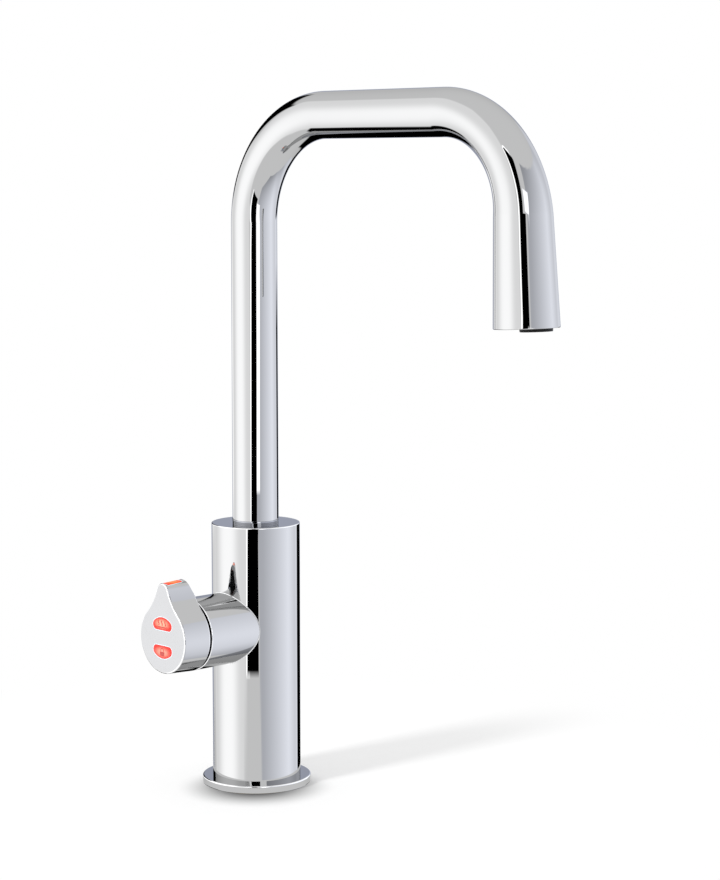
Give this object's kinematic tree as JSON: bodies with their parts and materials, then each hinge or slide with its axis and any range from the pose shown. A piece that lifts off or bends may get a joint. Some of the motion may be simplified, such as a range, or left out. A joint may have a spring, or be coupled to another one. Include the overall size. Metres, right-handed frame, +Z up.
{
  "type": "boiling water tap",
  "caption": "Chrome boiling water tap: swivelling swan-neck spout on a round body, with a drop-shaped side lever that holds two lit push buttons, and a worktop clamp.",
  "frame": {"origin": "centre of the tap's foot, on the worktop's face", "axes": "+Z up along the body and stem; the spout points to -Y; the lever is on the -X side"},
  "size_m": [0.0898, 0.2271, 0.4247],
  "materials": {
    "chrome": "polished chrome plating",
    "face_chrome": "polished chrome plating",
    "brass": "turned brass",
    "steel": "zinc-plated or stainless steel",
    "copper": "copper pipe",
    "rubber": "matt black rubber",
    "black_plastic": "black plastic",
    "white_plastic": "white acetal",
    "ceramic": "valve cartridge",
    "silicone": "milky silicone hose",
    "circuit_green": "circuit board",
    "lamp": "small lamp",
    "button_red": "translucent red, lit from behind",
    "window_orange": "translucent orange, lit from behind"
  },
  "bodies": {
    "tap_body": {"base_flange": "chrome", "base_seal": "rubber", "threaded_shank": "brass", "clamp_gasket": "rubber", "clamp_washer": "steel", "clamp_nut": "brass", "inlet_gland": "black_plastic", "boiling_inlet": "copper", "chilled_inlet": "copper", "ambient_inlet": "copper", "body_shell": "chrome", "waterway_core": "brass", "cartridge_seal": "rubber", "cartridge_body": "ceramic", "cartridge_nut": "brass", "lever_ring": "black_plastic", "swivel_bush": "white_plastic", "swivel_collar": "chrome"},
    "spout": {"spout_tube": "chrome", "swivel_spigot": "brass", "retaining_clip": "steel", "upper_o_ring": "rubber", "lower_o_ring": "rubber", "boiling_water_tube": "silicone", "chilled_water_tube": "silicone", "outlet_carrier": "black_plastic", "outlet_nozzle": "black_plastic"},
    "lever": {"cartridge_spindle": "steel", "lever_shell": "face_chrome", "lever_hub": "black_plastic", "hub_screw": "steel", "switch_board": "circuit_green", "upper_switch": "black_plastic", "upper_lamp": "lamp", "lower_switch": "black_plastic", "lower_lamp": "lamp", "indicator_lamp": "lamp", "indicator_window": "window_orange"},
    "upper_push_button": {"upper_button": "button_red", "upper_plunger": "white_plastic"},
    "lower_push_button": {"lower_button": "button_red", "lower_plunger": "white_plastic"}
  },
  "joints": [
    {"name": "spout_swivel", "type": "hinge", "parent": "tap_body", "child": "spout", "pos_m": [0, 0, 0.12], "axis": [0, 0, 1], "range_deg": [-90, 90]},
    {"name": "lever_turn", "type": "hinge", "parent": "tap_body", "child": "lever", "pos_m": [-0.05, 0, 0.0826], "axis": [-1, 0, 0], "range_deg": [-45, 45]},
    {"name": "upper_button_press", "type": "slide", "parent": "lever", "child": "upper_push_button", "axis": [1, 0, 0], "range_m": [0, 0.0007], "stiffness_N_per_m": 800, "springref_m": -0.001},
    {"name": "lower_button_press", "type": "slide", "parent": "lever", "child": "lower_push_button", "axis": [1, 0, 0], "range_m": [0, 0.0007], "stiffness_N_per_m": 800, "springref_m": -0.001}
  ]
}
